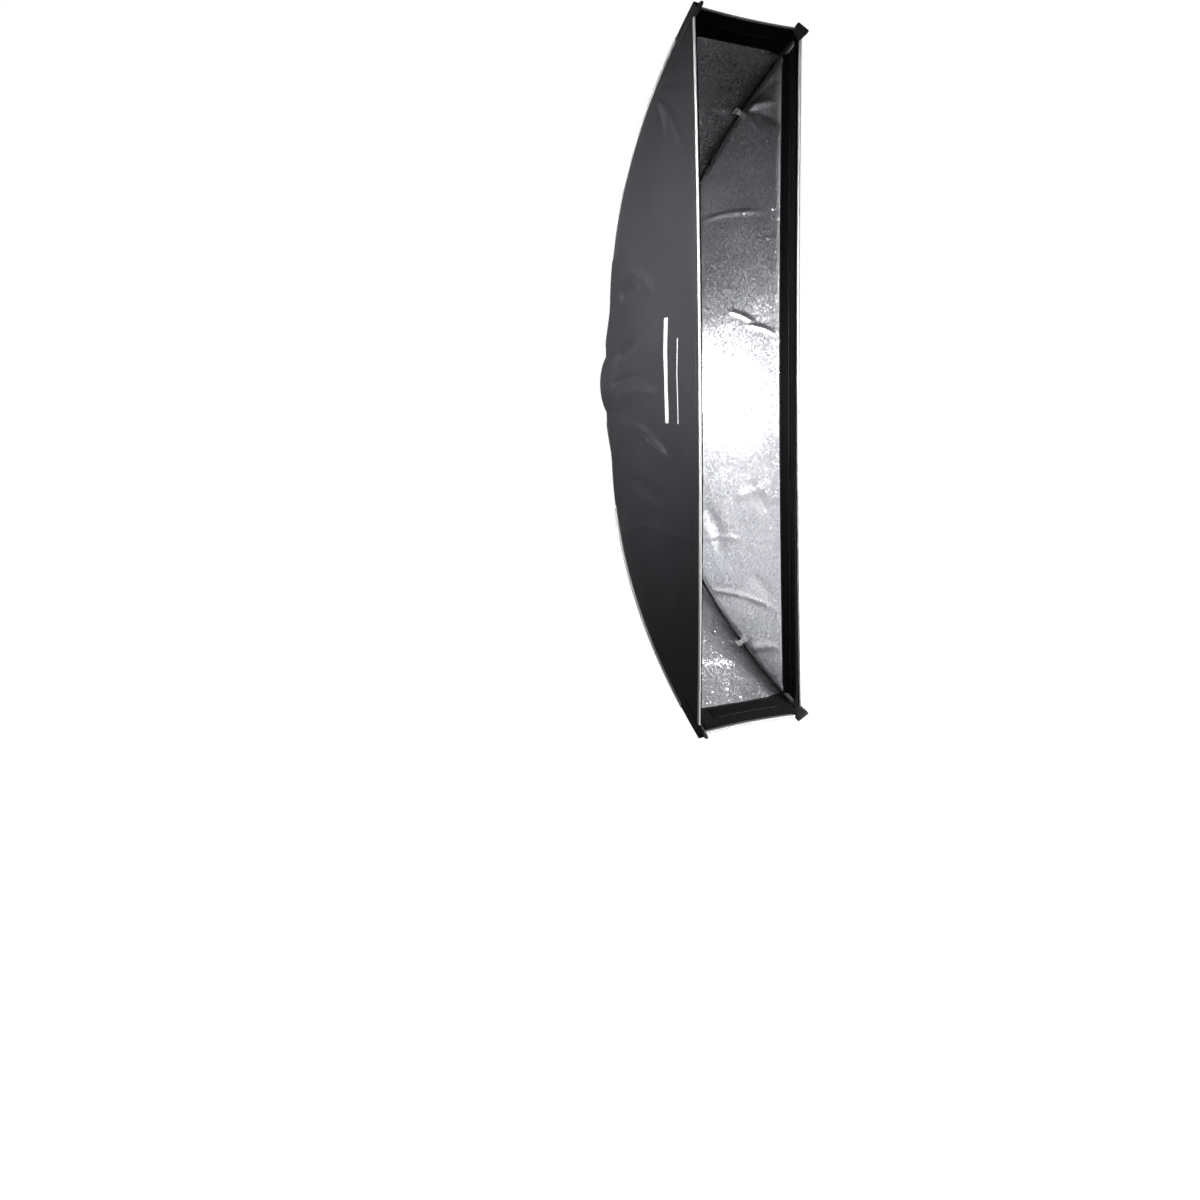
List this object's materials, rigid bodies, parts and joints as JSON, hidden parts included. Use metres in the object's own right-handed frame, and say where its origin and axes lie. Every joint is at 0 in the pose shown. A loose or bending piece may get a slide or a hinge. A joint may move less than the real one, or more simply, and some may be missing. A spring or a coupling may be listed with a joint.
{
  "type": "strip softbox",
  "caption": "Tall narrow fabric light box on sprung rods, silver inside and black outside, with a turning ring that locks on a lamp's bayonet.",
  "frame": {"origin": "on the optical axis, on the flat rim of the bayonet flange that seats on the lamp", "axes": "+Z along the strip's long side, +X along its short side, +Y out of the back towards the lamp; the open front faces -Y"},
  "size_m": [0.311, 0.3965, 1.4222],
  "materials": {
    "black_cloth": "matte",
    "silver_cloth": "satin",
    "lip_cloth": "matte",
    "loop_pile": "matte",
    "piping": "matte",
    "webbing": "matte",
    "white_elastic": "matte",
    "black_elastic": "matte",
    "rod_black": "satin",
    "tip_rubber": "matte",
    "black_anodised": "satin",
    "bare_aluminium": "satin",
    "zinc_steel": "satin",
    "knob_plastic": "satin"
  },
  "bodies": {
    "insert": {"bayonet_plate": "bare_aluminium", "retaining_ring": "black_anodised", "retaining_screw_1": "zinc_steel", "retaining_screw_2": "zinc_steel", "retaining_screw_3": "zinc_steel", "retaining_screw_4": "zinc_steel"},
    "softbox": {"corner_pocket_bottom_left": "webbing", "corner_pocket_bottom_right": "webbing", "corner_pocket_top_left": "webbing", "corner_pocket_top_right": "webbing", "end_lining_bottom": "silver_cloth", "end_lining_top": "silver_cloth", "end_wall_bottom": "black_cloth", "end_wall_top": "black_cloth", "lip_bottom": "lip_cloth", "lip_left": "lip_cloth", "lip_right": "lip_cloth", "lip_top": "lip_cloth", "loop_tape_bottom": "loop_pile", "loop_tape_left": "loop_pile", "loop_tape_right": "loop_pile", "loop_tape_top": "loop_pile", "neck_hem": "black_elastic", "rim_piping_bottom": "piping", "rim_piping_left": "piping", "rim_piping_right": "piping", "rim_piping_top": "piping", "rod_bottom_left": "rod_black", "rod_bottom_right": "rod_black", "rod_loop_bottom_left": "white_elastic", "rod_loop_bottom_right": "white_elastic", "rod_loop_top_left": "white_elastic", "rod_loop_top_right": "white_elastic", "rod_socket_bottom_left": "zinc_steel", "rod_socket_bottom_right": "zinc_steel", "rod_socket_top_left": "zinc_steel", "rod_socket_top_right": "zinc_steel", "rod_tip_bottom_left": "tip_rubber", "rod_tip_bottom_right": "tip_rubber", "rod_tip_top_left": "tip_rubber", "rod_tip_top_right": "tip_rubber", "rod_top_left": "rod_black", "rod_top_right": "rod_black", "seam_piping_bottom_left": "piping", "seam_piping_bottom_right": "piping", "seam_piping_top_left": "piping", "seam_piping_top_right": "piping", "side_lining_left": "silver_cloth", "side_lining_right": "silver_cloth", "side_wall_left": "black_cloth", "side_wall_right": "black_cloth", "speedring": "black_anodised"},
    "lock_stud_top": {"lock_stud_top": "zinc_steel"},
    "lock_knob_top": {"lock_knob_top": "knob_plastic"},
    "lock_stud_bottom": {"lock_stud_bottom": "zinc_steel"},
    "lock_knob_bottom": {"lock_knob_bottom": "knob_plastic"},
    "flap_top_left": {"side_flap_top_left": "black_cloth"},
    "flap_top_right": {"side_flap_top_right": "black_cloth"},
    "flap_bottom_left": {"side_flap_bottom_left": "black_cloth"},
    "flap_bottom_right": {"side_flap_bottom_right": "black_cloth"}
  },
  "joints": [
    {"name": "speedring_turn", "type": "hinge", "parent": "insert", "child": "softbox", "pos_m": [0, 0, 0], "axis": [0, 1, 0], "continuous": true},
    {"name": "lock_screw_travel_top", "type": "slide", "parent": "softbox", "child": "lock_stud_top", "axis": [0, 0, 1], "range_m": [0, 0.003]},
    {"name": "lock_screw_turn_top", "type": "hinge", "parent": "lock_stud_top", "child": "lock_knob_top", "pos_m": [0, -0.0205, 0.091], "axis": [0, 0, 1], "range_deg": [0, 1085]},
    {"name": "lock_screw_travel_bottom", "type": "slide", "parent": "softbox", "child": "lock_stud_bottom", "axis": [0, 0, -1], "range_m": [0, 0.003]},
    {"name": "lock_screw_turn_bottom", "type": "hinge", "parent": "lock_stud_bottom", "child": "lock_knob_bottom", "pos_m": [0, -0.0205, -0.091], "axis": [0, 0, -1], "range_deg": [0, 1085]},
    {"name": "flap_hinge_top_left", "type": "hinge", "parent": "softbox", "child": "flap_top_left", "pos_m": [-0.05147, -0.00426, 0.08], "axis": [-0.1291, -0.1953, 0.9722], "range_deg": [0, 140]},
    {"name": "flap_hinge_top_right", "type": "hinge", "parent": "softbox", "child": "flap_top_right", "pos_m": [0.05147, -0.00426, 0.08], "axis": [-0.1291, 0.1953, -0.9722], "range_deg": [0, 140]},
    {"name": "flap_hinge_bottom_left", "type": "hinge", "parent": "softbox", "child": "flap_bottom_left", "pos_m": [-0.05147, -0.00426, -0.08], "axis": [0.1291, 0.1953, 0.9722], "range_deg": [0, 140]},
    {"name": "flap_hinge_bottom_right", "type": "hinge", "parent": "softbox", "child": "flap_bottom_right", "pos_m": [0.05147, -0.00426, -0.08], "axis": [0.1291, -0.1953, -0.9722], "range_deg": [0, 140]}
  ],
  "couplings": [
    {"joint": "lock_screw_turn_top", "follows": "lock_screw_travel_top", "rad_per_m": 6283.2},
    {"joint": "lock_screw_turn_bottom", "follows": "lock_screw_travel_bottom", "rad_per_m": 6283.2}
  ]
}
